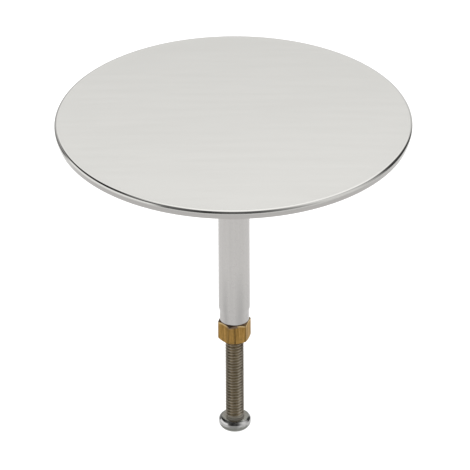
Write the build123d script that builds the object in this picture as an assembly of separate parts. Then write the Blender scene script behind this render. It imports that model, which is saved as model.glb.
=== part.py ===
from build123d import *
import math
import os

# Drain stopper for a bath: a round steel cap on a slim stem.
# The cap is a thin skin rolled in under a core plate. Below it a moulded carrier
# holds the rubber seal. A stud welded to the core, a washer and the sleeve clamp
# the carrier in place. A screw with a lock nut at the sleeve's lower end sets how
# high the drain's lifter raises the stopper.
# Sizes are in millimetres. The origin is on the stem's axis, in the plane of the
# seal's sealing face, and +Z points up, out of the drain.

# Cap, a skin of thin sheet whose wall tapers in and is rolled under the core
cap_diameter = 75.0
cap_sheet = 0.5
cap_crown = 0.5
cap_depth = 2.05
cap_edge_radius = 0.3
cap_foot_radius = 0.4
cap_taper_angle = 14.0
cap_lip_width = 2.4

# Stud, welded under the middle of the core
stud_flange_diameter = 14.0
stud_flange_thickness = 1.0
stud_fillet = 0.5
stud_diameter = 5.0
stud_length = 12.0
stud_tip_chamfer = 0.5

# Seal carrier, moulded
carrier_diameter = 52.0
carrier_wall = 3.2
carrier_web = 1.4
carrier_above_groove = 1.3
carrier_below_groove = 1.9
carrier_edge_fillet = 0.4
hub_diameter = 14.0
hub_length = 3.4
rib_count = 6
rib_thickness = 1.4
rib_depth = 0.6
groove_width = 1.6
groove_depth = 1.5

# Rubber seal, sprung into the carrier's groove
seal_drop = 3.0
seal_shoulder = 0.9
seal_top_width = 1.4
seal_lip_reach = 3.1
seal_lip_height = 0.7
seal_face_reach = 2.5
seal_face_width = 1.2
seal_root_height = 1.7
seal_fillet = 0.3

# Washer between the carrier and the sleeve
washer_diameter = 12.0
washer_thickness = 1.0
washer_chamfer = 0.2

# Sleeve, the visible stem
sleeve_diameter = 6.7
sleeve_length = 40.95
sleeve_nose_diameter = 6.28
sleeve_nose_length = 2.2
sleeve_nose_taper = 0.5
sleeve_top_chamfer = 0.3
sleeve_mouth_chamfer = 0.25
stud_bore_spare = 1.0
screw_bore_depth = 31.0

# Adjusting screw, with a pan head at its lower end
screw_size = 4.0
screw_thread_crest = 3.9
screw_length = 35.0
screw_engagement = 10.95
screw_tip_chamfer = 0.5
head_diameter = 6.85
head_height = 2.85
head_edge_fillet = 0.4
head_side_height = 1.0
head_flat_diameter = 3.4
head_dome_reach_share = 0.685
head_dome_drop_share = 0.709

# Hexagonal lock nut
nut_across_flats = 6.2
nut_height = 4.7
nut_chamfer_angle = 30.0
nut_chamfer_circle_share = 0.94
nut_mouth_chamfer = 0.35
nut_turned_by = 12.5
nut_sides = 6

# Clearances, all radial or per side
thread_clearance = 0.05
bolt_clearance = 0.1
seal_clearance = 0.05
core_clearance = 0.05
overrun = 1.0
match_tolerance = 0.01

# Radii worked out from the diameters
cap_radius = cap_diameter / 2
crown_radius = cap_radius - cap_edge_radius
carrier_radius = carrier_diameter / 2
carrier_inner_radius = carrier_radius - carrier_wall
groove_floor_radius = carrier_radius - groove_depth
hub_radius = hub_diameter / 2
stud_radius = stud_diameter / 2
flange_radius = stud_flange_diameter / 2
sleeve_radius = sleeve_diameter / 2
nose_radius = sleeve_nose_diameter / 2
screw_bore_radius = screw_size / 2
screw_radius = screw_thread_crest / 2
stud_bore_radius = stud_radius + thread_clearance

# Heights, from the sealing face up to the cap
groove_middle = seal_drop
carrier_top = groove_middle + carrier_above_groove
carrier_foot = groove_middle - carrier_below_groove
core_foot = carrier_top
cap_foot = core_foot - cap_sheet
cap_edge_plane = cap_foot + cap_depth

# Heights, from the cap down the stem
flange_foot = core_foot - stud_flange_thickness
stud_tip = flange_foot - stud_length
web_foot = flange_foot - carrier_web
hub_foot = flange_foot - hub_length
washer_foot = hub_foot - washer_thickness
sleeve_foot = washer_foot - sleeve_length
nut_foot = sleeve_foot - nut_height
screw_tip = sleeve_foot + screw_engagement
head_seat = screw_tip - screw_length


def turned(outline):
    """Solid of revolution about the stem's axis from a closed outline in X and Z."""
    return revolve(make_face(Plane.XZ * outline), axis=Axis.Z)


def ring(outer_radius, inner_radius, foot, height):
    """Plain ring round the stem's axis that stands on the height called foot."""
    tube = Cylinder(outer_radius, height) - Cylinder(inner_radius, height)
    return Pos(0, 0, foot + height / 2) * tube


def cone_cut(mouth_radius, depth, height, direction):
    """Cone for a countersink: widest at the given height, narrowing in direction."""
    narrow_radius = mouth_radius - depth
    if direction > 0:
        cone = Cone(mouth_radius, narrow_radius, depth)
    else:
        cone = Cone(narrow_radius, mouth_radius, depth)
    return Pos(0, 0, height + direction * depth / 2) * cone


def edges_at(solid, radius, height):
    """Circular edges of a solid that have this radius and lie at this height."""
    return [
        edge
        for edge in solid.edges().filter_by(GeomType.CIRCLE)
        if abs(edge.radius - radius) < match_tolerance
        and abs(edge.arc_center.Z - height) < match_tolerance
    ]


def point_on_circle(centre, radius, degrees):
    """Point in X and Z on a circle, at an angle above the horizontal."""
    turn = math.radians(degrees)
    return (centre[0] + radius * math.cos(turn), centre[1] + radius * math.sin(turn))


def wall_radius_at(height, inset):
    """Radius of the cap's tapered wall at a height, moved inwards by inset."""
    edge_middle = (crown_radius, cap_edge_plane - cap_edge_radius)
    start = point_on_circle(edge_middle, cap_edge_radius - inset, -cap_taper_angle)
    return start[0] - (start[1] - height) * math.tan(math.radians(cap_taper_angle))


def crown_arc(outer_radius, edge_height):
    """Arc of a crowned face, from the axis down to its edge."""
    sphere_radius = (outer_radius**2 + cap_crown**2) / (2 * cap_crown)
    return RadiusArc(
        (0, edge_height + cap_crown), (outer_radius, edge_height), sphere_radius
    )


def make_cap():
    """Skin: crowned top, tight edge, wall that tapers in and a rolled-in lip."""
    edge_middle = (crown_radius, cap_edge_plane - cap_edge_radius)
    edge_end = point_on_circle(edge_middle, cap_edge_radius, -cap_taper_angle)
    foot_middle_height = cap_foot + cap_foot_radius
    foot_middle_radius = wall_radius_at(foot_middle_height, cap_foot_radius)
    foot_start = point_on_circle(
        (foot_middle_radius, foot_middle_height), cap_foot_radius, -cap_taper_angle
    )
    foot_end = (foot_middle_radius, cap_foot)
    lip_radius = foot_middle_radius - cap_lip_width
    inner_edge_height = cap_edge_plane - cap_sheet
    inner_edge_radius = wall_radius_at(inner_edge_height, cap_sheet)
    outside = crown_arc(crown_radius, cap_edge_plane)
    outside += RadiusArc((crown_radius, cap_edge_plane), edge_end, cap_edge_radius)
    outside += Line(edge_end, foot_start)
    outside += RadiusArc(foot_start, foot_end, cap_foot_radius)
    lip_and_wall = Polyline(
        foot_end,
        (lip_radius, cap_foot),
        (lip_radius, core_foot),
        (wall_radius_at(core_foot, cap_sheet), core_foot),
        (inner_edge_radius, inner_edge_height),
    )
    underside = crown_arc(inner_edge_radius, inner_edge_height)
    middle = Line((0, inner_edge_height + cap_crown), (0, cap_edge_plane + cap_crown))
    return turned(outside + lip_and_wall + underside + middle)


def make_cap_core():
    """Plate inside the skin: crowned above, flat below, with a bevelled edge."""
    inset = cap_sheet + core_clearance
    edge_height = cap_edge_plane - inset
    edge_radius = wall_radius_at(edge_height, inset)
    face = crown_arc(edge_radius, edge_height)
    rest = Polyline(
        (edge_radius, edge_height),
        (wall_radius_at(core_foot, inset), core_foot),
        (0, core_foot),
        (0, edge_height + cap_crown),
    )
    return turned(face + rest)


def make_cap_stud():
    """Weld stud: a flange against the core and a plain shank for the thread."""
    flange = Pos(0, 0, flange_foot + stud_flange_thickness / 2) * Cylinder(
        flange_radius, stud_flange_thickness
    )
    flange = fillet(edges_at(flange, flange_radius, flange_foot), stud_fillet)
    shank = Pos(0, 0, flange_foot - stud_length / 2) * Cylinder(
        stud_radius, stud_length
    )
    shank = chamfer(edges_at(shank, stud_radius, stud_tip), stud_tip_chamfer)
    return flange + shank


def make_carrier_ribs():
    """Radial ribs under the web, from the hub to the outer wall."""
    bite = carrier_wall / 2
    start = hub_radius - bite
    reach = carrier_inner_radius + bite - start
    top = web_foot + carrier_web / 2
    height = top - web_foot + rib_depth
    rib = Pos(start + reach / 2, 0, top - height / 2) * Box(
        reach, rib_thickness, height
    )
    return PolarLocations(0, rib_count) * rib


def make_seal_carrier():
    """Moulded disc: hub, web and ribs inside a grooved outer wall."""
    wall_height = carrier_top - carrier_foot
    wall = ring(carrier_radius, carrier_inner_radius, carrier_foot, wall_height)
    wall -= ring(
        carrier_radius + overrun,
        groove_floor_radius,
        groove_middle - groove_width / 2,
        groove_width,
    )
    wall = fillet(edges_at(wall, carrier_radius, carrier_foot), carrier_edge_fillet)
    web = Pos(0, 0, web_foot + carrier_web / 2) * Cylinder(
        (carrier_inner_radius + groove_floor_radius) / 2, carrier_web
    )
    hub = Pos(0, 0, hub_foot + hub_length / 2) * Cylinder(hub_radius, hub_length)
    hub = fillet(edges_at(hub, hub_radius, hub_foot), carrier_edge_fillet)
    body = wall + web + hub
    for rib in make_carrier_ribs():
        body += rib
    hole = Pos(0, 0, hub_foot + hub_length / 2) * Cylinder(
        stud_radius + bolt_clearance, hub_length + overrun
    )
    return body - hole


def make_seal_ring():
    """Rubber ring: a bead in the carrier's groove and a lip that flares outwards."""
    bead_half = groove_width / 2 - seal_clearance
    bead_radius = groove_floor_radius + seal_clearance
    wall_radius = carrier_radius + seal_clearance
    shoulder = groove_middle + seal_shoulder
    lip_radius = carrier_radius + seal_lip_reach
    face_radius = carrier_radius + seal_face_reach
    outline = Polyline(
        (bead_radius, groove_middle - bead_half),
        (bead_radius, groove_middle + bead_half),
        (wall_radius, groove_middle + bead_half),
        (wall_radius, shoulder),
        (wall_radius + seal_top_width, shoulder),
        (lip_radius, seal_lip_height),
        (face_radius, 0),
        (face_radius - seal_face_width, 0),
        (wall_radius, seal_root_height),
        (wall_radius, groove_middle - bead_half),
        (bead_radius, groove_middle - bead_half),
    )
    body = turned(outline)
    rounded = edges_at(body, lip_radius, seal_lip_height)
    rounded += edges_at(body, wall_radius + seal_top_width, shoulder)
    return fillet(rounded, seal_fillet)


def make_clamp_washer():
    """Flat washer that spreads the sleeve's push over the moulded hub."""
    washer_radius = washer_diameter / 2
    body = ring(
        washer_radius, stud_radius + bolt_clearance, washer_foot, washer_thickness
    )
    return chamfer(edges_at(body, washer_radius, washer_foot), washer_chamfer)


def make_sleeve():
    """Slim tube: bored for the stud above and for the adjusting screw below."""
    nose_top = sleeve_foot + sleeve_nose_length
    outline = Polyline(
        (0, washer_foot),
        (sleeve_radius - sleeve_top_chamfer, washer_foot),
        (sleeve_radius, washer_foot - sleeve_top_chamfer),
        (sleeve_radius, nose_top + sleeve_nose_taper),
        (nose_radius, nose_top),
        (nose_radius, sleeve_foot),
        (0, sleeve_foot),
        (0, washer_foot),
    )
    body = turned(outline)
    stud_bore_foot = stud_tip - stud_bore_spare
    stud_bore_depth = washer_foot - stud_bore_foot
    body -= Pos(0, 0, washer_foot - stud_bore_depth / 2) * Cylinder(
        stud_bore_radius, stud_bore_depth
    )
    body -= Pos(0, 0, sleeve_foot + screw_bore_depth / 2) * Cylinder(
        screw_bore_radius, screw_bore_depth
    )
    body -= cone_cut(
        screw_bore_radius + sleeve_mouth_chamfer, sleeve_mouth_chamfer, sleeve_foot, 1
    )
    return body


def make_lock_nut():
    """Hexagonal nut, chamfered at both faces, with one plain bore."""
    nut_half_width = nut_across_flats / 2
    corner_radius = nut_half_width / math.cos(math.pi / nut_sides)
    circle_radius = nut_half_width * nut_chamfer_circle_share
    drop = (corner_radius - circle_radius) * math.tan(math.radians(nut_chamfer_angle))
    hexagon = RegularPolygon(
        nut_half_width, nut_sides, major_radius=False, rotation=nut_turned_by
    )
    prism = Pos(0, 0, nut_foot) * extrude(hexagon, nut_height)
    outline = Polyline(
        (0, nut_foot),
        (circle_radius, nut_foot),
        (corner_radius, nut_foot + drop),
        (corner_radius, sleeve_foot - drop),
        (circle_radius, sleeve_foot),
        (0, sleeve_foot),
        (0, nut_foot),
    )
    body = prism & turned(outline)
    body -= Pos(0, 0, nut_foot + nut_height / 2) * Cylinder(
        screw_bore_radius, nut_height + overrun
    )
    mouth_radius = screw_bore_radius + nut_mouth_chamfer
    body -= cone_cut(mouth_radius, nut_mouth_chamfer, nut_foot, 1)
    body -= cone_cut(mouth_radius, nut_mouth_chamfer, sleeve_foot, -1)
    return body


def make_adjusting_screw():
    """Screw with its pan head down. The shank is plain at the thread's crest."""
    head_radius = head_diameter / 2
    flat_radius = head_flat_diameter / 2
    side_foot = head_seat - head_side_height
    head_foot = head_seat - head_height
    dome_reach = flat_radius + (head_radius - flat_radius) * head_dome_reach_share
    dome_height = side_foot - (side_foot - head_foot) * head_dome_drop_share
    upper = Polyline(
        (0, head_foot),
        (0, screw_tip),
        (screw_radius - screw_tip_chamfer, screw_tip),
        (screw_radius, screw_tip - screw_tip_chamfer),
        (screw_radius, head_seat),
        (head_radius, head_seat),
        (head_radius, side_foot),
    )
    dome = ThreePointArc(
        (head_radius, side_foot),
        (dome_reach, dome_height),
        (flat_radius, head_foot),
    )
    flat = Line((flat_radius, head_foot), (0, head_foot))
    body = turned(upper + dome + flat)
    return fillet(edges_at(body, head_radius, head_seat), head_edge_fillet)


parts = {
    "cap": make_cap,
    "cap_core": make_cap_core,
    "cap_stud": make_cap_stud,
    "seal_carrier": make_seal_carrier,
    "seal_ring": make_seal_ring,
    "clamp_washer": make_clamp_washer,
    "sleeve": make_sleeve,
    "lock_nut": make_lock_nut,
    "adjusting_screw": make_adjusting_screw,
}

os.makedirs("parts", exist_ok=True)
for name, make in parts.items():
    export_step(make(), f"parts/{name}.step")
print("cap's edge plane above the sealing face:", round(cap_edge_plane, 3))
print("foot of the sleeve:", round(sleeve_foot, 3))
print("foot of the nut:", round(nut_foot, 3))
print("seat of the head:", round(head_seat, 3))
print("foot of the head:", round(head_seat - head_height, 3))
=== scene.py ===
# %% [markdown]
# # A bath's drain stopper, dressed for the camera
# The stopper is a round satin cap on a slim stem. Under the cap sit a moulded
# carrier and a rubber seal; at the stem's lower end a brass nut locks the screw
# that sets how high the drain's lifter raises the stopper.
# The solids come from the CAD model, and they are the fixed frame: nothing here
# moves them. Pieces whose surface needs more than the solid has, such as a real
# thread or a soft edge, are made again below and stand in for their solids.

import math

import bmesh
import bpy
import numpy as np
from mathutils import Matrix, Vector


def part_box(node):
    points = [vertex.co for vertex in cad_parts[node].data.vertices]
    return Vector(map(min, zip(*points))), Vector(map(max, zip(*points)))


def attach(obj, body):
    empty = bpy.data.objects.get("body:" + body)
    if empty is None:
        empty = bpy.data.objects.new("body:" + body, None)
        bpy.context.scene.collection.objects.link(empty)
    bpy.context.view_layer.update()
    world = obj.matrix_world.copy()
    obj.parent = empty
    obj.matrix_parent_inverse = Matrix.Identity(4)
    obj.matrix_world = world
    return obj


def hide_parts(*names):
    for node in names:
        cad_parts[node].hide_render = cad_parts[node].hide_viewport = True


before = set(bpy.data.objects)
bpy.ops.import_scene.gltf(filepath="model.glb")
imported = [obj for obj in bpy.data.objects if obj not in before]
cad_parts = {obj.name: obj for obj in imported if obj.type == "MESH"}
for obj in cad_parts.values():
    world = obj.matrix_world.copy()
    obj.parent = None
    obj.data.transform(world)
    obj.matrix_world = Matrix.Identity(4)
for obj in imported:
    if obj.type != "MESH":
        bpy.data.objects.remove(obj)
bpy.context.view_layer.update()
MM = 0.001
print("solids:", sorted(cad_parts))

# %% [markdown]
# ## Heights and widths that the solids give
# Every new piece takes its place from the box of the solid that it stands for,
# so that it sits where the joints and the mounts expect it. The helper turns a
# box into the three numbers that a turned piece needs: its foot, its top and
# its largest radius. From here on lengths are in millimetres, and a name that
# ends in _M holds metres.


# %% Read foot, top and radius of a solid
def foot_top_radius(node):
    """Lowest height, highest height and half width of a solid, in millimetres."""
    low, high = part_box(node)
    return low.z / MM, high.z / MM, (high.y - low.y) / MM / 2


cap_foot, cap_top, cap_radius = foot_top_radius("cap")
sleeve_foot, sleeve_top, sleeve_radius = foot_top_radius("sleeve")
nut_foot, nut_top, _ = foot_top_radius("lock_nut")
head_foot, screw_tip, head_radius = foot_top_radius("adjusting_screw")
seal_foot, seal_top, seal_radius = foot_top_radius("seal_ring")
print("cap radius:", round(cap_radius, 2), "sleeve radius:", round(sleeve_radius, 2))
print("nut from", round(nut_foot, 2), "to", round(nut_top, 2))

# %% [markdown]
# ## Turned pieces start as a path with soft corners
# The cap, the seal, the sleeve and the screw's head are round, so each is one
# outline carried round the stem. On the real pieces no corner is perfectly
# sharp, and that small rounding is what catches the light. A Bevel modifier
# could add it, but it rounds every edge alike. Here each corner states its own
# rounding, and the outline is worked out as an array of points.

# %% Outline with an arc at each corner
NEARLY_STRAIGHT = 1e-3
GUARD_SHARE = 0.2


def soft_outline(corners, steps=7):
    """Path of (radius, height) points through corners given as (radius, height, rounding).

    A corner becomes an arc that touches both of its straight runs: the arc's middle
    lies on the line that halves the corner, at rounding / sin(half the corner's angle),
    and it starts at rounding / tan(half angle) from the corner. One more point stands
    just outside each end of the arc, so that the flat runs stay flat when shaded."""
    corners = np.asarray(corners, float)
    path = [corners[:1, :2]]
    for before, here, after in zip(corners[:-2], corners[1:-1], corners[2:]):
        point, rounding = here[:2], here[2]
        to_before, to_after = before[:2] - point, after[:2] - point
        to_before /= np.linalg.norm(to_before)
        to_after /= np.linalg.norm(to_after)
        half = math.acos(np.clip(to_before @ to_after, -1, 1)) / 2
        if rounding == 0 or half > math.pi / 2 - NEARLY_STRAIGHT:
            path.append(point[None])
            continue
        reach = rounding / math.tan(half)
        halving = (to_before + to_after) / np.linalg.norm(to_before + to_after)
        middle = point + halving * rounding / math.sin(half)
        start = point + to_before * reach - middle
        end = point + to_after * reach - middle
        turn = math.atan2(start[0] * end[1] - start[1] * end[0], start @ end)
        angles = np.linspace(0, turn, steps)
        across = np.array([-start[1], start[0]])
        bend = middle + np.outer(np.cos(angles), start) + np.outer(np.sin(angles), across)
        guard = reach + rounding * GUARD_SHARE
        path += [point + to_before * guard, bend, point + to_after * guard]
    path.append(corners[-1:, :2])
    return np.vstack(path)


print("one rounded corner has", len(soft_outline([(0, 0, 0), (5, 0, 1), (5, 5, 0)])), "points")

# %% [markdown]
# ## From a grid of points to a closed surface
# A surface in two directions is a grid: rows follow the outline and columns go
# round the axis. Four neighbours make a face. Where a row shrinks to one point,
# such as the middle of the cap, its columns have to share one vertex, and after
# the last column comes the first one again. A helix adds a twist: its last
# column meets the first one some rows further on.

# %% Grid to mesh
MERGE_WITHIN = 1e-4
NO_LENGTH = 1e-5


def surface_faces(rows, columns, row_step=0, rows_closed=False):
    """Vertex numbers of the faces of a grid whose columns close round the axis.

    Face (i, j) joins rows i and i + 1 at columns j and j + 1. The last column's
    neighbour is column 0, row_step rows further on, which is how a helix closes."""
    number = np.arange(rows * columns).reshape(rows, columns)
    last = np.minimum(np.arange(rows) + row_step, rows - 1)
    wide = np.hstack([number, number[last, :1]])
    if rows_closed:
        wide = np.vstack([wide, wide[:1]])
    corners = [wide[:-1, :-1], wide[:-1, 1:], wide[1:, 1:], wide[1:, :-1]]
    return np.stack(corners, axis=-1).reshape(-1, 4)


def new_piece(name, grids):
    """Object made of one or several grids given as (points, row_step, rows_closed).

    Vertices closer than a ten-thousandth of a millimetre become one, which closes
    poles and the rims where two grids meet. Then all faces are made to point outwards."""
    points, faces, count = [], [], 0
    for grid, row_step, rows_closed in grids:
        rows, columns = grid.shape[:2]
        faces.append(surface_faces(rows, columns, row_step, rows_closed) + count)
        points.append(grid.reshape(-1, 3))
        count += rows * columns
    points, faces = np.vstack(points) * MM, np.vstack(faces)
    mesh = bpy.data.meshes.new(name)
    mesh.from_pydata(points, [], faces)
    work = bmesh.new()
    work.from_mesh(mesh)
    bmesh.ops.remove_doubles(work, verts=work.verts, dist=MERGE_WITHIN * MM)
    bmesh.ops.dissolve_degenerate(work, edges=work.edges, dist=NO_LENGTH * MM)
    bmesh.ops.recalc_face_normals(work, faces=work.faces)
    open_edges = sum(edge.is_boundary for edge in work.edges)
    work.to_mesh(mesh)
    work.free()
    mesh.polygons.foreach_set("use_smooth", np.ones(len(mesh.polygons), bool))
    piece = bpy.data.objects.new(name, mesh)
    bpy.context.scene.collection.objects.link(piece)
    print(name, "faces:", len(mesh.polygons), "open edges:", open_edges)
    return piece


# %% Rows and columns round the axis
def around(radius, angles, height):
    """Points (radius cos a, radius sin a, height), for each angle a of the columns."""
    height = np.broadcast_to(height, radius.shape)
    return np.stack([radius * np.cos(angles), radius * np.sin(angles), height], axis=-1)


def turned(outline, columns):
    """Grid of an outline carried round the axis, in this many equal steps."""
    angles = np.linspace(0, 2 * math.pi, columns, endpoint=False)
    radius = np.broadcast_to(outline[:, :1], (len(outline), columns))
    return around(radius, angles, outline[:, 1:])


print("a disc's grid:", turned(np.array([(0.0, 0.0), (1.0, 0.0)]), 8).shape)

# %% [markdown]
# ## The cap
# The cap is a skin of thin stainless sheet. Its top is very slightly crowned,
# its edge is tight, its wall tapers inwards, and its lip is rolled in under the
# core plate. Seen from the room only the top and a narrow band of the wall show,
# so the edge decides how the cap looks: it is the thin line between the bright
# top and the band. The outline below is the solid's, with many more points
# where it bends and an edge twice as soft, because that line is wider on the
# real cap than the solid's edge would draw it.

# %% Cap skin
CAP_SHEET = 0.5
CAP_CROWN = 0.5
CAP_EDGE = 0.65
CAP_FOOT = 0.4
CAP_TAPER = math.radians(14.0)
CAP_LIP = 2.4
LIP_ROUNDING = 0.12
BESIDE_ARC = 0.05
CAP_COLUMNS = 256
cap_edge_plane = cap_top - CAP_CROWN
edge_middle_height = cap_edge_plane - CAP_EDGE
crown_radius = cap_radius - CAP_EDGE


def wall_radius(height, inset=0.0):
    """Radius of the tapered wall at a height: it loses tan(taper) per unit of depth."""
    start_radius = crown_radius + (CAP_EDGE - inset) * math.cos(CAP_TAPER)
    start_height = edge_middle_height - (CAP_EDGE - inset) * math.sin(CAP_TAPER)
    return start_radius - (start_height - height) * math.tan(CAP_TAPER)


def crown(outer_radius, edge_height, points=22):
    """Crowned face from the axis to its edge: rise times (1 - share of the radius squared)."""
    share = np.linspace(0, 1, points)
    return np.column_stack([outer_radius * share, edge_height + CAP_CROWN * (1 - share**2)])


def arc(middle, radius, from_degrees, to_degrees, points):
    """Arc round a middle point, from one angle above the horizontal to another."""
    angles = np.radians(np.linspace(from_degrees, to_degrees, points))
    return np.column_stack(
        [middle[0] + radius * np.cos(angles), middle[1] + radius * np.sin(angles)]
    )


taper_degrees = math.degrees(CAP_TAPER)
slope_degrees = math.degrees(math.atan(2 * CAP_CROWN / crown_radius))
edge_middle = (crown_radius, edge_middle_height)
edge_arc = arc(edge_middle, CAP_EDGE, 90 - slope_degrees, -taper_degrees, points=22)
foot_middle = (wall_radius(cap_foot + CAP_FOOT, CAP_FOOT), cap_foot + CAP_FOOT)
foot_arc = arc(foot_middle, CAP_FOOT, -taper_degrees, -90, points=12)
wall_start, wall_end = edge_arc[-1, 1] - BESIDE_ARC, foot_arc[0, 1] + BESIDE_ARC
lip_radius = foot_middle[0] - CAP_LIP
lip_top = cap_foot + CAP_SHEET
inner_plane = cap_edge_plane - CAP_SHEET
inner_radius = wall_radius(inner_plane, CAP_SHEET)
lip = soft_outline(
    [
        (foot_middle[0] - BESIDE_ARC, cap_foot, 0),
        (lip_radius, cap_foot, LIP_ROUNDING),
        (lip_radius, lip_top, LIP_ROUNDING),
        (wall_radius(lip_top, CAP_SHEET), lip_top, 0),
        (inner_radius, inner_plane, 0),
    ],
    steps=5,
)
cap_outline = np.vstack(
    [
        crown(crown_radius - BESIDE_ARC, cap_edge_plane),
        edge_arc,
        [(wall_radius(height), height) for height in (wall_start, wall_end)],
        foot_arc,
        lip,
        crown(inner_radius, inner_plane, points=8)[::-1],
    ]
)
cap_skin = new_piece("cap_skin", [(turned(cap_outline, CAP_COLUMNS), 0, False)])
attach(cap_skin, "stopper")
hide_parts("cap")
print("the wall tapers from", round(cap_radius, 2), "to", round(wall_radius(cap_foot), 2))

# %% [markdown]
# ## The rubber seal
# The seal is a ring of black rubber, sprung into the groove of the carrier. It
# flares out into a lip that closes on the drain. It is moulded, so its corners
# are round. The ring's outline is closed in itself, so the last row joins the
# first. Each corner below is a radius, a height and a rounding.

# %% Seal ring
CARRIER_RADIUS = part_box("seal_carrier")[1].x / MM
GROOVE_MIDDLE = 3.0
GROOVE_DEPTH = 1.5
SEAL_PLAY = 0.05
BEAD_HALF = 0.75
TOP_WIDTH = 1.4
LIP_REACH = 3.1
LIP_HEIGHT = 0.7
FACE_REACH = 2.5
FACE_WIDTH = 1.2
ROOT_HEIGHT = 1.7
CLOSING_RUN = 0.1
SEAL_COLUMNS = 224
bead_in = CARRIER_RADIUS - GROOVE_DEPTH + SEAL_PLAY
wall_out = CARRIER_RADIUS + SEAL_PLAY
bead_top, bead_foot = GROOVE_MIDDLE + BEAD_HALF, GROOVE_MIDDLE - BEAD_HALF
face_out = CARRIER_RADIUS + FACE_REACH
seal_corners = [
    (bead_in, GROOVE_MIDDLE, 0),
    (bead_in, bead_top, 0.2),
    (wall_out, bead_top, 0.05),
    (wall_out, seal_top, 0.06),
    (wall_out + TOP_WIDTH, seal_top, 0.35),
    (CARRIER_RADIUS + LIP_REACH, LIP_HEIGHT, 0.3),
    (face_out, seal_foot, 0.15),
    (face_out - FACE_WIDTH, seal_foot, 0.2),
    (wall_out, ROOT_HEIGHT, 0.3),
    (wall_out, bead_foot, 0.05),
    (bead_in, bead_foot, 0.2),
    (bead_in, GROOVE_MIDDLE - CLOSING_RUN, 0),
]
seal_outline = soft_outline(seal_corners, steps=6)
rubber_seal = new_piece("rubber_seal", [(turned(seal_outline, SEAL_COLUMNS), 0, True)])
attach(rubber_seal, "stopper")
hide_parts("seal_ring")
print("the lip stands", round(seal_radius - CARRIER_RADIUS, 2), "mm past the carrier")

# %% [markdown]
# ## The sleeve
# The sleeve is a drawn tube or a turned bar, hardly thicker than a pencil. Near
# its lower end it steps in by a fifth of a millimetre to a nose, on which the
# nut bears. The step is worn to a soft slope, a little longer than the solid's,
# so that it shades evenly. Both ends are bored. The outline runs from the
# stud's bore over the top, down the outside, across the end and up the screw's
# bore, so the surface is one closed shell, with a web between the bores.

# %% Stem sleeve
NOSE_RADIUS = 3.14
NOSE_LENGTH = 2.2
SHOULDER = 0.9
STUD_BORE_RADIUS = 2.55
STUD_BORE_DEPTH = 8.6
SCREW_BORE_RADIUS = 2.05
SCREW_BORE_DEPTH = 31.0
MOUTH_CHAMFER = 0.25
SLEEVE_COLUMNS = 128
nose_top = sleeve_foot + NOSE_LENGTH
web_top = sleeve_top - STUD_BORE_DEPTH
web_foot = sleeve_foot + SCREW_BORE_DEPTH
sleeve_corners = [
    (0, web_top, 0),
    (STUD_BORE_RADIUS, web_top, 0.1),
    (STUD_BORE_RADIUS, sleeve_top, 0.05),
    (sleeve_radius, sleeve_top, 0.25),
    (sleeve_radius, nose_top + SHOULDER, 0.5),
    (NOSE_RADIUS, nose_top, 0.5),
    (NOSE_RADIUS, sleeve_foot, 0.12),
    (SCREW_BORE_RADIUS + MOUTH_CHAMFER, sleeve_foot, 0.05),
    (SCREW_BORE_RADIUS, sleeve_foot + MOUTH_CHAMFER, 0.05),
    (SCREW_BORE_RADIUS, web_foot, 0.1),
    (0, web_foot, 0),
]
stem_outline = soft_outline(sleeve_corners)
stem_sleeve = new_piece("stem_sleeve", [(turned(stem_outline, SLEEVE_COLUMNS), 0, False)])
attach(stem_sleeve, "stopper")
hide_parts("sleeve")
print("web between the sleeve's bores in mm:", round(web_top - web_foot, 2))

# %% [markdown]
# ## A screw thread
# The screw has a standard M4 thread: 0.7 mm from one crest to the next, flanks
# at 60 degrees to each other, flat crests and round roots. A thread can be made
# with a Screw modifier, but its ends are then left open. Here the surface is
# one function: the radius depends only on how far round the helix a point is,
# and the grid's rows follow the helix themselves, so that the crests stay
# clean. Heights past either end are pulled back to it, and merge there.

# %% Thread form
PITCH = 0.7
CREST_RADIUS = 1.95
THREAD_DEPTH = 0.42
ROOT_RADIUS = CREST_RADIUS - THREAD_DEPTH
HALF_CREST = PITCH / 16
FLANK_WEAR = 0.03
CREST_SOFTNESS = 0.02
ROOT_SOFTNESS = 0.05


def softly_lower(first, second, softness):
    """Lower of two values with a rounded change-over: the mean less half of the
    root of their difference squared plus the softness squared."""
    return (first + second - np.sqrt((first - second) ** 2 + softness**2)) / 2


def eased(share):
    """Share from 0 to 1 with a soft start and a soft end: 3 share^2 - 2 share^3."""
    return share * share * (3 - 2 * share)


def thread_radius(turns):
    """Radius of the thread at a number of turns along the helix.

    The height over the root is a triangle wave with flanks at 60 degrees, softly
    cut at the crest and filled at the root."""
    from_crest = np.abs((turns + 0.5) % 1.0 - 0.5) * PITCH
    flank = (PITCH / 2 - HALF_CREST - from_crest) * math.sqrt(3) - FLANK_WEAR
    height = softly_lower(flank, THREAD_DEPTH, CREST_SOFTNESS)
    height = -softly_lower(-height, 0.0, ROOT_SOFTNESS)
    return ROOT_RADIUS + height


probe = thread_radius(np.linspace(0, 1, 400))
print("thread from", round(probe.min(), 3), "to", round(probe.max(), 3), "mm radius")

# %% Helical grid
ROWS_PER_TURN = 16
SPARE_TURNS = 2


def helix_grid(foot, top, radius_of, angles):
    """Grid whose rows climb one pitch per turn: height = foot + pitch * (row's turns +
    angle / full turn), held between foot and top. radius_of takes turns and height."""
    turns_up = math.ceil((top - foot) / PITCH) + 1
    first_row, past_last_row = -SPARE_TURNS * ROWS_PER_TURN, (turns_up + 1) * ROWS_PER_TURN
    row_turns = np.arange(first_row, past_last_row) / ROWS_PER_TURN
    share = angles / (2 * math.pi)
    free_height = foot + PITCH * (row_turns[:, None] + share[None, :])
    height = np.clip(free_height, foot, top)
    turns = (height - nut_top) / PITCH - share[None, :]
    return around(radius_of(turns, height), angles, height)


print("one turn of thread climbs", PITCH, "mm in", ROWS_PER_TURN, "rows")

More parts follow.
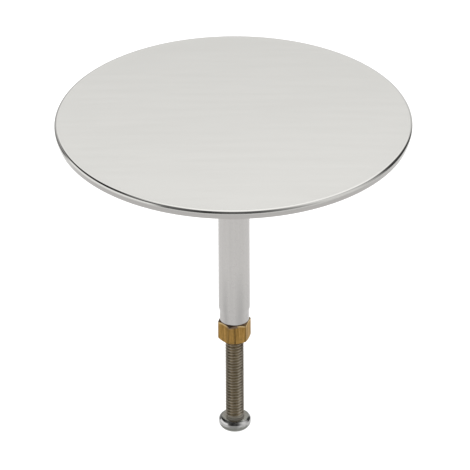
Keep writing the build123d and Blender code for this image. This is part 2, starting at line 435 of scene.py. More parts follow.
# %% [markdown]
# ## The adjusting screw
# The screw hangs head down. Its shank is threaded all the way, with the thread
# running out just over the head, and a chamfer at the hidden tip. The pan head
# is turned, with a rounder edge and a fuller foot than the solid's. Then a
# cross recess is pressed into it from below: it is a dent that is added to the
# height of the head's lower face. Shank and head are two closed shells in one
# piece, because the shank's foot stands inside the head.

# %% Threaded shank
HEAD_HEIGHT = 2.85
RUN_OUT = 0.2
TIP_CHAMFER = 0.5
SHANK_IN_HEAD = 0.4
SHANK_COLUMNS = 72
head_seat = head_foot + HEAD_HEIGHT
shank_foot = head_seat - SHANK_IN_HEAD


def shank_radius(turns, height):
    """Thread that fades into its root over the head, under a 45 degree chamfer at the tip."""
    fade = eased(np.clip((height - head_seat) / RUN_OUT, 0, 1))
    radius = ROOT_RADIUS + (thread_radius(turns) - ROOT_RADIUS) * fade
    return np.minimum(radius, CREST_RADIUS - TIP_CHAMFER + screw_tip - height)


shank_angles = np.linspace(0, 2 * math.pi, SHANK_COLUMNS, endpoint=False)
shank = helix_grid(shank_foot, screw_tip, shank_radius, shank_angles)
foot_disc = turned(np.array([(0, shank_foot), (shank[0, 0, 0], shank_foot)]), SHANK_COLUMNS)
tip_disc = turned(np.array([(shank[-1, 0, 0], screw_tip), (0, screw_tip)]), SHANK_COLUMNS)
print("threaded length in mm:", round(screw_tip - head_seat, 2), "grid:", shank.shape[:2])

# %% Pan head with a cross recess
HEAD_TURN = math.radians(24.0)
HEAD_SIDE = 1.15
HEAD_EDGE = 0.95
HEAD_COLUMNS = 240
DOME_REACH = 1.5
STEEP_UNTIL = math.radians(58)
RECESS_REACH = 2.15
RECESS_HALF_WIDTH = 0.5
RECESS_SLANT = 1.6
RECESS_SOFTNESS = 0.12
RECESS_WALL = 0.16
RECESS_MIDDLE = 0.9
RECESS_DEPTH = 1.6
RECESS_RISE = 0.5


def recess_bar(along, across):
    """Share of one bar of the cross, from 0 outside it to 1 past its wall."""
    from_end = RECESS_REACH - np.abs(along)
    from_side = (RECESS_HALF_WIDTH - np.abs(across)) * RECESS_SLANT
    inside = softly_lower(from_end, from_side, RECESS_SOFTNESS)
    return np.clip(inside / RECESS_WALL, 0, 1)


def recess_depth(x, y):
    """Depth of the cross recess: two crossed bars and a round middle, each with soft
    walls, deeper towards the axis."""
    reach = np.hypot(x, y)
    share = np.maximum(recess_bar(x, y), recess_bar(y, x))
    share = np.maximum(share, np.clip((RECESS_MIDDLE - reach) / RECESS_WALL, 0, 1))
    return eased(share) * (RECESS_DEPTH - RECESS_RISE * reach)


head_top = soft_outline(
    [
        (0, head_seat, 0),
        (head_radius, head_seat, HEAD_EDGE),
        (head_radius, head_seat - HEAD_SIDE, 0),
    ],
    steps=10,
)
# Rows lie at equal angles on the dome's steep part, and at equal distances under it.
dome_start = head_radius - DOME_REACH
steep = dome_start + DOME_REACH * np.cos(np.linspace(0, STEEP_UNTIL, 12)[1:])
dome_radius = np.concatenate([steep, np.linspace(steep[-1], 0, 64)[1:]])
past_start = np.clip((dome_radius - dome_start) / DOME_REACH, 0, 1)
dome_rise = (HEAD_HEIGHT - HEAD_SIDE) * (1 - np.sqrt(1 - past_start**2))
dome = np.column_stack([dome_radius, head_foot + dome_rise])
head = turned(np.vstack([head_top, dome]), HEAD_COLUMNS)
lower = np.arange(len(head)) >= len(head_top)
x = head[..., 0] * math.cos(HEAD_TURN) + head[..., 1] * math.sin(HEAD_TURN)
y = head[..., 1] * math.cos(HEAD_TURN) - head[..., 0] * math.sin(HEAD_TURN)
head[..., 2] += recess_depth(x, y) * lower[:, None]
print("recess depth in mm:", round(float(recess_depth(0.0, 0.0)), 2))

# %% Shank and head in one piece
pan_screw = new_piece(
    "pan_screw",
    [
        (np.vstack([foot_disc[:1], shank[:1]]), 0, False),
        (shank, ROWS_PER_TURN, False),
        (np.vstack([shank[-1:], tip_disc[1:]]), 0, False),
        (head, 0, False),
    ],
)
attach(pan_screw, "screw")
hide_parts("adjusting_screw")

# %% [markdown]
# ## The lock nut
# The nut is cut from hexagonal brass bar, and a cone is turned on both of its
# faces. Where the cones meet the six flats they leave the arcs that make a nut
# look like a nut. They could be cut with Booleans, but those leave a ragged
# mesh. Here the outside is one function of the angle and the height: the lowest
# of seven radii, six flats and the cone of the nearer face, with a soft
# change-over that also rounds the corners. The columns stand closer together
# at the corners.

# %% Corners and columns of the nut
SIDES = 6
SECTOR = 2 * math.pi / SIDES
SECTOR_COLUMNS = 34
CROWDING = 0.88

nut_solid = np.array([v.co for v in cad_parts["lock_nut"].data.vertices]) / MM
farthest = nut_solid[np.argmax(np.hypot(nut_solid[:, 0], nut_solid[:, 1]))]
corner_angle = math.atan2(farthest[1], farthest[0])
step = np.arange(SECTOR_COLUMNS) / SECTOR_COLUMNS
sector = SECTOR * (step - CROWDING * np.sin(2 * math.pi * step) / (2 * math.pi))
nut_angles = corner_angle + (np.arange(SIDES)[:, None] * SECTOR + sector).ravel()
print("one corner lies at", round(math.degrees(corner_angle), 1), "degrees")

# %% Outside of the nut
ACROSS_FLATS = 6.2
CORNER_SOFTNESS = 0.035
CONE_SLOPE = math.tan(math.radians(30.0))
FACE_CIRCLE = ACROSS_FLATS / 2 * 0.94
LEAST_COSINE = 0.2


def soft_lowest(radii, softness):
    """Soft minimum of many values: minus softness times the log of the summed
    exponentials of minus value over softness."""
    lowest = radii.min(axis=0)
    return lowest - softness * np.log(np.exp((lowest - radii) / softness).sum(axis=0))


def nut_outside(angles, height):
    """Radius of the nut: flat k stands at half the width over the cosine of the angle
    to its middle, and the cone of the nearer face grows by 1 / slope per unit away."""
    to_flat = angles - corner_angle - SECTOR / 2
    bearing = to_flat[None] - np.arange(SIDES)[:, None] * SECTOR
    cosine = np.maximum(np.cos(bearing), LEAST_COSINE)
    grid = (len(height), len(angles))
    flats = np.broadcast_to((ACROSS_FLATS / 2 / cosine)[:, None, :], (SIDES, *grid))
    from_face = np.minimum(height - nut_foot, nut_top - height)[None, :, None]
    cones = np.broadcast_to(FACE_CIRCLE + from_face / CONE_SLOPE, (1, *grid))
    return soft_lowest(np.concatenate([flats, cones]), CORNER_SOFTNESS)


# Rows crowd at the rounded rim of each face, and one lies half way down the flats.
inwards = np.concatenate([np.linspace(0, 0.06, 4), np.linspace(0.09, 0.6, 18), [0.8]])
half_way = (nut_top + nut_foot) / 2
heights = np.concatenate([nut_top - inwards, [half_way], (nut_foot + inwards)[::-1]])
outside = nut_outside(nut_angles, heights)
side = around(outside, nut_angles, heights[:, None])
print("widest and narrowest half width:", round(outside.max(), 2), round(outside.min(), 2))

# %% Faces and threaded bore of the nut
MOUTH_RADIUS = 2.35
THREAD_PLAY = 0.05
DRILL_RADIUS = 1.68


def nut_face(height, rim, rows=5):
    """Flat ring from the rim's radii in to the mouth of the bore, in even shares."""
    share = np.linspace(0, 1, rows)[:, None]
    return around(rim[None] * (1 - share) + MOUTH_RADIUS * share, nut_angles, height)


def nut_thread(turns, height):
    """The screw's thread with a little play, cut off at the tapping drill's radius,
    with a 45 degree countersink at both mouths."""
    thread = np.maximum(thread_radius(turns) + THREAD_PLAY, DRILL_RADIUS)
    from_face = np.minimum(height - nut_foot, nut_top - height)
    return np.maximum(thread, MOUTH_RADIUS - from_face)


bore = helix_grid(nut_foot, nut_top, nut_thread, nut_angles)
brass_nut = new_piece(
    "brass_nut",
    [
        (nut_face(nut_top, outside[0])[::-1], 0, False),
        (side, 0, False),
        (nut_face(nut_foot, outside[-1]), 0, False),
        (bore, ROWS_PER_TURN, False),
    ],
)
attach(brass_nut, "nut")
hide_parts("lock_nut")

# %% [markdown]
# ## Finishes
# All finishes are made with nodes and read the piece's own coordinates, so they
# stay on the piece when it moves or is looked at from another side. One grain
# or blotch is a noise that is squeezed or stretched along an axis. The helpers
# put the common nodes in place, so that each finish reads as a short recipe.


# %% Helpers for nodes
def new_finish(name, **values):
    """Material with these values on the sockets of its surface shader."""
    finish = bpy.data.materials.new(name)
    finish.use_nodes = True
    surface = finish.node_tree.nodes["Principled BSDF"]
    for socket, value in values.items():
        surface.inputs[socket.replace("_", " ")].default_value = value
    return finish, finish.node_tree, surface


def node(tree, kind, inputs=(), **settings):
    """New node with its settings, and its inputs linked or set by number or name."""
    made = tree.nodes.new(kind)
    for name, value in settings.items():
        setattr(made, name, value)
    for key, value in dict(inputs).items():
        if isinstance(value, bpy.types.NodeSocket):
            tree.links.new(value, made.inputs[key])
        else:
            made.inputs[key].default_value = value
    return made


def connect(tree, surface, **sockets):
    """Links values to the sockets of a surface shader, named as in new_finish."""
    for socket, value in sockets.items():
        tree.links.new(value, surface.inputs[socket.replace("_", " ")])


def combine(tree, first, second, operation="ADD"):
    """Sum of two values, or the result of another operation on them."""
    inputs = {0: first, 1: second}
    return node(tree, "ShaderNodeMath", inputs, operation=operation).outputs[0]


def product(tree, first, second):
    """Product of two values: where both are shares, what lies in both."""
    return combine(tree, first, second, "MULTIPLY")


def larger(tree, first, second):
    """Larger of two values: where both are shares, what lies in either."""
    return combine(tree, first, second, "MAXIMUM")


def ramp(tree, value, from_low, from_high, to_low=0.0, to_high=1.0):
    """Value carried from one range to another and held at its ends."""
    inputs = {0: value, 1: from_low, 2: from_high, 3: to_low, 4: to_high}
    return node(tree, "ShaderNodeMapRange", inputs).outputs[0]


def colour(red, green, blue):
    """Colour with full cover, for a socket."""
    return (red, green, blue, 1.0)


def grey(level):
    """Colour with the same level in red, green and blue."""
    return colour(level, level, level)


def blend_colours(tree, share, first, second):
    """Colour between two others, by share."""
    inputs = {0: share, 6: first, 7: second}
    return node(tree, "ShaderNodeMix", inputs, data_type="RGBA").outputs[2]


def wear(piece, finish):
    """Gives a piece its one finish."""
    piece.data.materials.clear()
    piece.data.materials.append(finish)
    print(piece.name, "wears", finish.name, "of", len(finish.node_tree.nodes), "nodes")


# %% [markdown]
# ## Places on a piece
# A stain or a rubbed line sits at a height, at a distance from the axis, or at a
# bearing round it. Each of these is one value that any finish can turn into a
# share with a ramp. Angles are counted from the front of the stem to the right.


# %% Helpers for places and patterns
def millimetres(tree, stretch=(1.0, 1.0, 1.0)):
    """The piece's own coordinates in millimetres, times a stretch along each axis."""
    own = node(tree, "ShaderNodeTexCoord").outputs["Object"]
    scale = tuple(axis / MM for axis in stretch)
    return node(tree, "ShaderNodeMapping", {"Vector": own, "Scale": scale}).outputs[0]


def noise(tree, vector, scale, detail=2.0, roughness=0.5):
    """Value between 0 and 1 that wanders with the place, this many times a millimetre."""
    inputs = {"Vector": vector, "Scale": scale, "Detail": detail, "Roughness": roughness}
    return node(tree, "ShaderNodeTexNoise", inputs).outputs["Fac"]


def from_axis(tree):
    """Distance from the stem's axis in millimetres."""
    flat = millimetres(tree, (1.0, 1.0, 0.0))
    return node(tree, "ShaderNodeVectorMath", {0: flat}, operation="LENGTH").outputs["Value"]


def height_up(tree):
    """Height over the sealing face in millimetres."""
    return node(tree, "ShaderNodeSeparateXYZ", {0: millimetres(tree)}).outputs["Z"]


def line_down(tree, degrees, core, reach):
    """Soft line that runs down a piece, so many degrees round from the front.

    The distance from it is |x cos a + y sin a|: the share is 1 up to the core, falls to 0
    at the reach, and is 0 on the far side, where x sin a - y cos a is negative."""
    place = node(tree, "ShaderNodeSeparateXYZ", {0: millimetres(tree)})
    x, y = place.outputs["X"], place.outputs["Y"]
    sine, cosine = math.sin(math.radians(degrees)), math.cos(math.radians(degrees))
    sideways = combine(tree, product(tree, x, cosine), product(tree, y, sine))
    outward = combine(tree, product(tree, x, sine), product(tree, y, cosine), "SUBTRACT")
    near = ramp(tree, combine(tree, sideways, 0.0, "ABSOLUTE"), core, reach, 1.0, 0.0)
    return product(tree, near, ramp(tree, outward, -0.1, 0.1))


def relief(tree, surface, height, depth_mm):
    """Bump of this depth from a height between 0 and 1."""
    inputs = {"Height": height, "Distance": depth_mm * MM, "Strength": 1.0}
    connect(tree, surface, Normal=node(tree, "ShaderNodeBump", inputs).outputs[0])


# %% [markdown]
# ## Satin steel of the cap
# The cap is stainless sheet with a fine satin finish. In the room its top shows
# one calm, slightly warm grey, because the grain is far finer than the eye sees
# from a step away. Up close there are hair lines that all run one way, and very
# faint clouds. The edge is rubbed smoother when the skin is rolled over the
# core, so the roughness falls there, by the distance from the axis. The band of
# the wall under the edge is painted a little darker: painted shade, for the
# dimmer floor that the wall mirrors.

# %% Cap finish
cap_finish, tree, surface = new_finish("satin_cap_steel", Metallic=1.0)
lines = noise(tree, millimetres(tree, (0.4, 18.0, 18.0)), 1.0, 3.0, 0.6)
streaks = noise(tree, millimetres(tree, (0.035, 0.5, 0.5)), 1.0, 3.0, 0.6)
clouds = noise(tree, millimetres(tree), 0.05, 3.0)
mottle = combine(tree, product(tree, streaks, 0.6), product(tree, clouds, 0.4))
face = blend_colours(
    tree, ramp(tree, mottle, 0.35, 0.65), colour(0.764, 0.756, 0.725), colour(0.788, 0.78, 0.75)
)
# Painted shade: the wall band below the edge gets a darker base colour, for the dimmer floor that
# it mirrors.
painted_wall_shade = ramp(tree, height_up(tree), edge_middle_height, edge_middle_height - 0.2)
base = blend_colours(tree, painted_wall_shade, face, colour(0.645, 0.625, 0.605))
edge_share = ramp(tree, from_axis(tree), crown_radius - 0.1, crown_radius + 0.1)
satin = ramp(tree, lines, 0.2, 0.8, 0.19, 0.27)
worn = product(tree, ramp(tree, edge_share, 0.0, 1.0, 1.0, 0.3), satin)
connect(tree, surface, Base_Color=base, Roughness=worn)
relief(tree, surface, lines, 0.0003)
wear(cap_skin, cap_finish)

# %% [markdown]
# ## Plated metal of the stem
# The sleeve is drawn, so its faint marks run along it. It is duller than the
# cap, and a little darker towards the nut. Two darker streaks run down to the nut
# there, one on either side of the front: painted dark reflections of the room.

# %% Sleeve finish
stem_finish, tree, surface = new_finish("plated_stem_metal", Metallic=1.0)
draw_lines = noise(tree, millimetres(tree, (1.6, 1.6, 0.02)), 1.0, 3.0, 0.6)
specks = noise(tree, millimetres(tree), 2.5, 2.0)
nearer_nut_share = ramp(tree, height_up(tree), sleeve_foot + 3.0, sleeve_foot + 14.0, 1.0, 0.0)
light_metal = blend_colours(
    tree, ramp(tree, draw_lines, 0.3, 0.7), colour(0.745, 0.724, 0.703), colour(0.80, 0.778, 0.757)
)
# A little darker towards the nut.
base = blend_colours(tree, product(tree, nearer_nut_share, 0.35), light_metal, colour(0.62, 0.61, 0.60))
# Painted dark reflections: two darker streaks down either side of the front, fading away from the
# nut.
painted_reflection_streaks = larger(tree, line_down(tree, -35.0, 0.1, 0.9), line_down(tree, 23.0, 0.3, 1.2))
painted_reflection_streaks = product(tree, product(tree, painted_reflection_streaks, nearer_nut_share), 0.5)
base = blend_colours(tree, painted_reflection_streaks, base, colour(0.5, 0.49, 0.48))
connect(tree, surface, Base_Color=base, Roughness=ramp(tree, specks, 0.3, 0.7, 0.2, 0.28))
relief(tree, surface, draw_lines, 0.002)
wear(stem_sleeve, stem_finish)

# %% [markdown]
# ## Brass of the lock nut
# The nut is drawn bar with turned faces. Brass tarnishes to a brown film in the
# damp, in random patches. The turned top and the cone under it are painted dark:
# painted shade, where the sleeve's end hangs over them. A bright line along the
# arcs under the top is a painted highlight, broken up where the film is thick. At
# the front, under the top, a brown patch is painted shade too, where the sleeve's
# end shades the nut. The drawing marks run along the bar, so the noise is
# stretched along the height. A dark line runs down the front, and dark lines down
# either side of it are painted dark reflections. Top and arcs are found by the
# same cone that cuts the nut: the radius less the cone's radius. Brass loses some
# blue even where it mirrors at a flat angle, so the shader's tint is a pale
# yellow and not white.

# %% Brass and its marks
brass_finish, tree, surface = new_finish(
    "tarnished_brass", Metallic=1.0, Specular_Tint=(1.0, 0.93, 0.76, 1.0)
)
bar_marks = noise(tree, millimetres(tree, (3.2, 3.2, 0.25)), 1.0, 4.0, 0.65)
film = noise(tree, millimetres(tree), 0.75, 4.0, 0.6)
bright = blend_colours(
    tree, ramp(tree, bar_marks, 0.32, 0.68), colour(0.32, 0.178, 0.042), colour(0.62, 0.365, 0.113)
)
filmed = ramp(tree, film, 0.5, 0.72, 0.0, 0.55)
brass = blend_colours(tree, filmed, bright, colour(0.24, 0.15, 0.05))
front_line = product(tree, line_down(tree, 2.0, 0.06, 0.24), 0.75)
# Painted dark reflections down either side of the front.
painted_side_reflections = larger(tree, line_down(tree, -24.0, 0.05, 0.32), line_down(tree, 42.0, 0.05, 0.3))
painted_side_reflections = product(tree, painted_side_reflections, 0.6)
print("nodes for the brass:", len(tree.nodes))

# %% Nut finish
below_top = combine(tree, nut_top, height_up(tree), "SUBTRACT")
cone_there = combine(tree, combine(tree, below_top, CONE_SLOPE, "DIVIDE"), FACE_CIRCLE)
past_cone = combine(tree, from_axis(tree), cone_there, "SUBTRACT")
# Painted highlight along the arcs under the top, broken up by the film's patches.
arc_highlight_breakup = ramp(tree, film, 0.35, 0.6, 1.0, 0.6)
painted_arc_highlight = product(tree, ramp(tree, past_cone, -1.0, -0.3), arc_highlight_breakup)
# Painted shade on the turned top and the cone, where the sleeve's end hangs over them.
on_cone = ramp(tree, past_cone, -0.26, -0.13)
painted_top_shade = larger(tree, on_cone, ramp(tree, below_top, 0.05, 0.02))
# Painted shade at the front under the top, where the sleeve's end shades the nut.
painted_front_shade = product(tree, line_down(tree, -7.5, 0.85, 1.35), ramp(tree, below_top, 0.85, 0.6))
base = blend_colours(tree, painted_arc_highlight, brass, colour(0.95, 0.74, 0.40))
base = blend_colours(tree, front_line, base, colour(0.10, 0.06, 0.015))
base = blend_colours(tree, painted_side_reflections, base, colour(0.14, 0.085, 0.025))
base = blend_colours(tree, painted_top_shade, base, colour(0.24, 0.16, 0.09))
base = blend_colours(tree, painted_front_shade, base, colour(0.24, 0.165, 0.11))
connect(tree, surface, Base_Color=base, Roughness=ramp(tree, bar_marks, 0.25, 0.75, 0.36, 0.24))
relief(tree, surface, bar_marks, 0.012)
wear(brass_nut, brass_finish)

# %% [markdown]
# ## Nickel and grime of the screw
# The screw is nickel plated steel. The rounded side of its head is still bright
# and mirrors the room, while the seat above it and the dome below it have gone
# dull and grey. The thread has brown grime in its roots, and its crests are
# rubbed lighter. Crest and root come from the distance to the axis, and the
# parts of the head from the height, so one finish does it all.

# %% Thread of the screw
screw_finish, tree, surface = new_finish("nickel_screw_steel", Metallic=1.0)
smudge = noise(tree, millimetres(tree), 1.1, 4.0, 0.6)
fine = noise(tree, millimetres(tree), 6.0, 2.0)
screw_height = height_up(tree)
is_thread = ramp(tree, screw_height, head_seat + 0.05, head_seat + 0.35)
on_crest = ramp(tree, from_axis(tree), CREST_RADIUS - 0.3, CREST_RADIUS - 0.02)
grimy = blend_colours(
    tree, ramp(tree, smudge, 0.3, 0.7), colour(0.27, 0.225, 0.16), colour(0.46, 0.40, 0.31)
)
thread_base = blend_colours(tree, on_crest, grimy, colour(0.52, 0.47, 0.385))
print("nodes for crest and root:", len(tree.nodes))

# %% [markdown]
# Lines of painted light run down the thread. A painted highlight runs down its
# left side and a wider one down its right, which is lighter towards the head.
# Between them the front is browner, and outside them painted dark reflections run
# down its edges.

# %% Lines down the thread
# Painted highlights on the left and right, painted dark reflections on the edges; the front is
# browner.
painted_left_highlight = product(tree, line_down(tree, -27.0, 0.15, 0.6), ramp(tree, smudge, 0.3, 0.7))
browner_front = product(tree, line_down(tree, -8.0, 0.6, 1.3), 0.4)
towards_head = ramp(tree, screw_height, nut_foot - 4.0, head_seat + 4.0, 0.15, 0.55)
painted_right_highlight = product(tree, line_down(tree, 43.0, 0.2, 0.7), towards_head)
painted_dark_edges = larger(tree, line_down(tree, -46.0, 0.1, 0.5), line_down(tree, 60.0, 0.25, 0.7))
painted_dark_edges = product(tree, painted_dark_edges, ramp(tree, smudge, 0.3, 0.6, 0.85, 0.45))
thread_base = blend_colours(tree, painted_left_highlight, thread_base, colour(0.60, 0.54, 0.46))
thread_base = blend_colours(tree, browner_front, thread_base, colour(0.50, 0.42, 0.285))
thread_base = blend_colours(tree, painted_right_highlight, thread_base, colour(0.68, 0.62, 0.52))
thread_base = blend_colours(tree, painted_dark_edges, thread_base, colour(0.14, 0.12, 0.09))
print("nodes with the lines:", len(tree.nodes))

# %% Head of the screw
smudged = ramp(tree, smudge, 0.35, 0.65)
dull = blend_colours(tree, smudged, colour(0.24, 0.24, 0.215), colour(0.33, 0.335, 0.31))
polished = blend_colours(tree, smudged, colour(0.60, 0.595, 0.585), colour(0.72, 0.715, 0.705))
uneven = combine(tree, screw_height, ramp(tree, smudge, 0.3, 0.7, -0.12, 0.12))
over_dome = ramp(tree, uneven, head_seat - 1.5, head_seat - 1.15)
under_seat = ramp(tree, uneven, head_seat - 0.1, head_seat - 0.28)
on_side = product(tree, over_dome, under_seat)
head_base = blend_colours(tree, on_side, dull, polished)
over_foot = ramp(tree, uneven, head_seat - 1.5, head_seat - 1.2)
# Painted dark reflection: a dark patch on the front of the head's side.
painted_front_reflection = product(tree, product(tree, line_down(tree, -5.0, 0.7, 1.5), over_foot), 0.7)
head_base = blend_colours(tree, painted_front_reflection, head_base, colour(0.22, 0.215, 0.20))
print("nodes with the head:", len(tree.nodes))

# %% [markdown]
# Where the thread meets the head, dirt fills the corner to a small collar. Dirt
# isn't a metal: it mirrors nothing and takes its light from all round. So the
# metal share falls there, which takes away the dark ring of bare metal.

# %% Screw finish
round_shank = ramp(tree, from_axis(tree), 2.75, 2.15)
over_seat = ramp(tree, screw_height, head_seat - 0.3, head_seat - 0.1)
under_thread = ramp(tree, screw_height, head_seat + 0.75, head_seat + 0.35)
in_corner = product(tree, product(tree, round_shank, over_seat), under_thread)
base = blend_colours(tree, is_thread, head_base, thread_base)
base = blend_colours(tree, product(tree, in_corner, 0.8), base, colour(0.40, 0.375, 0.32))
head_roughness = ramp(tree, on_side, 0.0, 1.0, 0.24, 0.09)
roughness = node(tree, "ShaderNodeMix", {0: is_thread, 2: head_roughness, 3: 0.36}).outputs[0]
metal = ramp(tree, in_corner, 0.0, 1.0, 1.0, 0.2)
connect(tree, surface, Base_Color=base, Roughness=roughness, Metallic=metal)
relief(tree, surface, fine, 0.002)
wear(pan_screw, screw_finish)

# %% [markdown]
# ## Rubber and moulded plastic
# The seal is matt black rubber with a slightly pebbled skin. The carrier is a
# moulded plastic disc with a finely eroded grain. Both show only from below.

# %% Seal finish
rubber_finish, tree, surface = new_finish(
    "black_seal_rubber", Metallic=0.0, Specular_IOR_Level=0.35
)
pebbles = noise(tree, millimetres(tree), 5.0, 3.0, 0.6)
bloom = noise(tree, millimetres(tree), 0.35, 3.0)
base = blend_colours(
    tree, ramp(tree, bloom, 0.35, 0.75), colour(0.022, 0.022, 0.023), colour(0.05, 0.05, 0.052)
)
connect(tree, surface, Base_Color=base, Roughness=ramp(tree, bloom, 0.3, 0.7, 0.5, 0.68))
relief(tree, surface, pebbles, 0.02)
wear(rubber_seal, rubber_finish)

# %% Carrier finish
plastic_finish, tree, surface = new_finish(
    "moulded_carrier_plastic", Metallic=0.0, Specular_IOR_Level=0.45
)
erosion = noise(tree, millimetres(tree), 8.0, 3.0, 0.65)
flow = noise(tree, millimetres(tree), 0.12, 2.0)
base = blend_colours(
    tree, ramp(tree, flow, 0.3, 0.7), colour(0.085, 0.087, 0.09), colour(0.11, 0.112, 0.115)
)
connect(tree, surface, Base_Color=base, Roughness=ramp(tree, erosion, 0.3, 0.7, 0.38, 0.52))
relief(tree, surface, erosion, 0.012)
wear(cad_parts["seal_carrier"], plastic_finish)

# %% [markdown]
# ## Zinc plated steel under the cap
# The core plate, the stud and the washer are plain steel with a thin zinc
# plating. It has a cool, slightly patchy shine. The plate keeps the fine rings
# of its turning, which a Wave texture in its ring form draws round the axis.

# %% Plate, stud and washer finish
zinc_finish, tree, surface = new_finish("zinc_plated_steel", Metallic=1.0)
patches = noise(tree, millimetres(tree), 0.3, 4.0, 0.6)
rings = node(
    tree,
    "ShaderNodeTexWave",
    {"Vector": millimetres(tree), "Scale": 1.6, "Distortion": 0.6, "Detail": 2.0},
    wave_type="RINGS",
    rings_direction="Z",
).outputs["Fac"]
base = blend_colours(
    tree, ramp(tree, patches, 0.3, 0.7), colour(0.50, 0.51, 0.52), colour(0.60, 0.60, 0.585)
)
connect(tree, surface, Base_Color=base, Roughness=ramp(tree, patches, 0.3, 0.7, 0.28, 0.42))
relief(tree, surface, rings, 0.003)
for plated in ("cap_core", "cap_stud", "clamp_washer"):
    wear(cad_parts[plated], zinc_finish)

# %% [markdown]
# ## The room
# The stopper hangs free over a plain pale floor, as it was photographed. A
# metal object shows the room more than itself, so the room does most of the
# work: a broad light behind and above for the cap's top, a pale floor that the
# stem reflects, and a darker side behind the camera that draws the thin line
# along the cap's edge. The floor lies too far below for a shadow, and is clear
# from below, so that it never hides the stopper's foot.

# %% Floor
FLOOR_HEIGHT_M = -0.42
FLOOR_HALF_M = 1.6
floor_mesh = bpy.data.meshes.new("floor")
floor_mesh.from_pydata(
    [
        (x * FLOOR_HALF_M, y * FLOOR_HALF_M, FLOOR_HEIGHT_M)
        for x, y in ((-1, -1), (1, -1), (1, 1), (-1, 1))
    ],
    [],
    [(0, 1, 2, 3)],
)
floor = bpy.data.objects.new("floor", floor_mesh)
bpy.context.scene.collection.objects.link(floor)
floor_finish, tree, surface = new_finish("pale_floor", Roughness=0.9, Specular_IOR_Level=0.1)
grain = noise(tree, millimetres(tree), 0.02, 2.0)
base = blend_colours(tree, grain, grey(0.86), grey(0.88))
connect(tree, surface, Base_Color=base)
from_below = node(tree, "ShaderNodeNewGeometry").outputs["Backfacing"]
clear = node(tree, "ShaderNodeBsdfTransparent").outputs[0]
seen = node(tree, "ShaderNodeMixShader", {0: from_below, 1: surface.outputs[0], 2: clear})
tree.links.new(seen.outputs[0], tree.nodes["Material Output"].inputs["Surface"])
wear(floor, floor_finish)

# %% [markdown]
# ## Walls and ceiling as one world
# The rest of the room is the world's light, as a function of the direction. Its
# height is the upward part of the direction, and its bearing is the angle round
# the stem, 0 towards the camera and 180 away from it. The cap's rim and the
# round stem mirror every bearing once, so each stretch of wall can be set to
# the grey that the mirroring metal has there. The walls stand low at the back
# and reach up high behind the camera, where the cap's edge looks.

# %% Directions and grey levels
world = bpy.data.worlds.new("studio")
bpy.context.scene.world = world
world.use_nodes = True
tree = world.node_tree
tree.nodes.clear()
direction = node(tree, "ShaderNodeTexCoord").outputs["Generated"]
parts = node(tree, "ShaderNodeSeparateXYZ", {0: direction})
up, away, aside = parts.outputs["Z"], parts.outputs["Y"], parts.outputs["X"]
bearing = combine(tree, aside, product(tree, away, -1.0), "ARCTAN2")
elevation = combine(tree, up, 0.0, "ARCSINE")


def grey_steps(value, steps):
    """Colour ramp through grey levels given as (position, level)."""
    made = node(tree, "ShaderNodeValToRGB", {0: value})
    for position, level in steps[1:-1]:
        made.color_ramp.elements.new(position)
    for element, (position, level) in zip(made.color_ramp.elements, steps):
        element.position = position
        element.color = grey(level)
    return made.outputs[0]


print("nodes for the directions:", len(tree.nodes))

# %% Ceiling and walls
ceiling_levels = [(0, 0.3), (0.25, 0.54), (0.42, 0.81), (0.58, 1.0), (0.8, 1.12), (1, 1.16)]
wall_levels = [
    (-180, 0.75), (-171, 0.5), (-150, 0.44), (-139, 0.17), (-124, 0.05), (-108, 0.05), (-92, 0.06),
    (-78, 0.2), (-60, 0.18), (-45, 0.15), (-30, 0.1), (-17, 0.04), (-6, 0.12), (3, 0.14),
    (12, 0.1), (24, 0.17), (40, 0.38), (60, 0.78), (80, 0.76), (97, 0.44), (109, 0.12),
    (118, 0.05), (130, 0.05), (141, 0.25), (150, 0.6), (165, 0.78), (180, 0.75),
]
ceiling = grey_steps(up, ceiling_levels)
walls = grey_steps(
    ramp(tree, bearing, -math.pi, math.pi),
    [(degrees / 360 + 0.5, level) for degrees, level in wall_levels],
)
in_front = ramp(tree, away, 0.65, 0.0)
wall_top = ramp(tree, in_front, 0.0, 1.0, 0.30, 0.985)
wall_fades = ramp(tree, in_front, 0.0, 1.0, 0.12, 0.93)
wall_share = ramp(tree, up, wall_fades, wall_top, 1.0, 0.0)
room = blend_colours(tree, wall_share, ceiling, walls)
print("stretches of wall:", len(wall_levels) - 1)

# %% [markdown]
# ## Panels in the room
# Three panels with soft sides stand before the walls. A dark one high on the
# left draws the deep part of the cap's left rim. A bright one low on the left
# lights that side of the stem, the nut and the screw, and a dark one on the
# right ends the bright wall there. Bearings and elevations are in degrees.


# %% Dark and bright panels
def panel(bearings, elevations, softness):
    """Share of a panel in the room between two bearings and two angles above the
    horizon, in degrees: a product of four ramps, each as wide as the softness."""
    share = None
    for value, (low, high) in ((bearing, bearings), (elevation, elevations)):
        low, high, soft = math.radians(low), math.radians(high), math.radians(softness)
        for outer, inner in ((low - soft, low), (high + soft, high)):
            ramped = ramp(tree, value, outer, inner)
            share = ramped if share is None else product(tree, share, ramped)
    return share


panels = [
    ((-148, -98), (28, 56), 12, 0.04),
    ((-118, -52), (-25, 20), 9, 0.98),
    ((114, 138), (-12, 36), 9, 0.06),
]
for bearings, elevations, softness, level in panels:
    room = blend_colours(tree, panel(bearings, elevations, softness), room, grey(level))
print("panels:", len(panels))

# %% [markdown]
# ## What each ray sees
# Only mirroring metal needs the room in detail. A ray that leaves a matt
# surface sees one even grey instead, which gives less noise, and a ray straight
# from the camera sees plain white, as behind the photographed stopper.

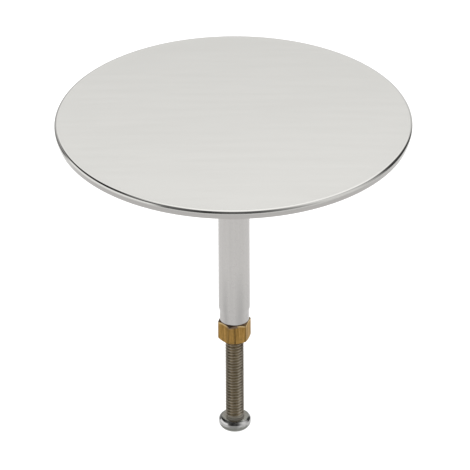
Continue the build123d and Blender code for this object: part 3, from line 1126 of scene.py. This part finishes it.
# %% World light
EVEN_GREY = 0.77
ray = node(tree, "ShaderNodeLightPath")
shown = blend_colours(tree, ray.outputs["Is Diffuse Ray"], room, grey(EVEN_GREY))
shown = blend_colours(tree, ray.outputs["Is Camera Ray"], shown, grey(1.0))
background = node(tree, "ShaderNodeBackground", {"Color": shown, "Strength": 1.0})
node(tree, "ShaderNodeOutputWorld", {"Surface": background.outputs[0]})
print("nodes for the room:", len(tree.nodes))

# %% [markdown]
# ## A soft box over the far floor
# The top of the picture looks at the floor behind the stopper, which would come
# out a shade darker than white. A square light hangs over that stretch alone and
# shines straight down, as an area light does unless it is turned. Neither the
# camera nor the metal sees it. Its power is its level times pi times its area.

# %% Soft box
BOX_SIDE_M = 0.32
BOX_LEVEL = 2.6
BOX_PLACE_M = (0.0, 0.74, -0.16)
lamp = bpy.data.lights.new("background_box", "AREA")
lamp.size = BOX_SIDE_M
lamp.energy = BOX_LEVEL * math.pi * BOX_SIDE_M * BOX_SIDE_M
background_box = bpy.data.objects.new("background_box", lamp)
bpy.context.scene.collection.objects.link(background_box)
background_box.location = BOX_PLACE_M
background_box.visible_camera = False
background_box.visible_glossy = False
print("soft box in watts:", round(lamp.energy, 2))

# %% [markdown]
# ## The camera
# The camera was fitted to the cap's outline, the stem and the screw's pitch. It
# is a long lens from over a metre and a half away, looking down by 30 degrees.
# Its place is worked out from the distance, the angle above the horizon and the
# point of the axis that it turns about. A small turn to the right and a small
# roll are left from the fit.

# %% Camera
IMAGE_SIDE = 470
FOCAL_PIXELS = 7890.0
SENSOR_WIDTH = 36.0
DISTANCE_M = 1.65
ABOVE_HORIZON = math.radians(29.53)
LOOKS_DOWN = math.radians(30.349)
TURNS_RIGHT = 1.2 / FOCAL_PIXELS
ROLL = 0.005
PIVOT_UNDER_EDGE = 0.13
PIVOT_HEIGHT_M = (cap_edge_plane - PIVOT_UNDER_EDGE) * MM
lens = bpy.data.cameras.new("camera")
lens.sensor_width = SENSOR_WIDTH
lens.lens = FOCAL_PIXELS / IMAGE_SIDE * SENSOR_WIDTH
lens.clip_start, lens.clip_end = 0.1, 100.0
camera = bpy.data.objects.new("camera", lens)
bpy.context.scene.collection.objects.link(camera)
camera.location = (
    0.0,
    -DISTANCE_M * math.cos(ABOVE_HORIZON),
    DISTANCE_M * math.sin(ABOVE_HORIZON) + PIVOT_HEIGHT_M,
)
rotation = (
    Matrix.Rotation(-TURNS_RIGHT, 4, "Z")
    @ Matrix.Rotation(math.pi / 2 - LOOKS_DOWN, 4, "X")
    @ Matrix.Rotation(-ROLL, 4, "Z")
)
camera.rotation_euler = rotation.to_euler()
bpy.context.scene.camera = camera
bpy.context.scene.view_settings.view_transform = "Standard"
print("focal length in mm:", round(lens.lens, 1))
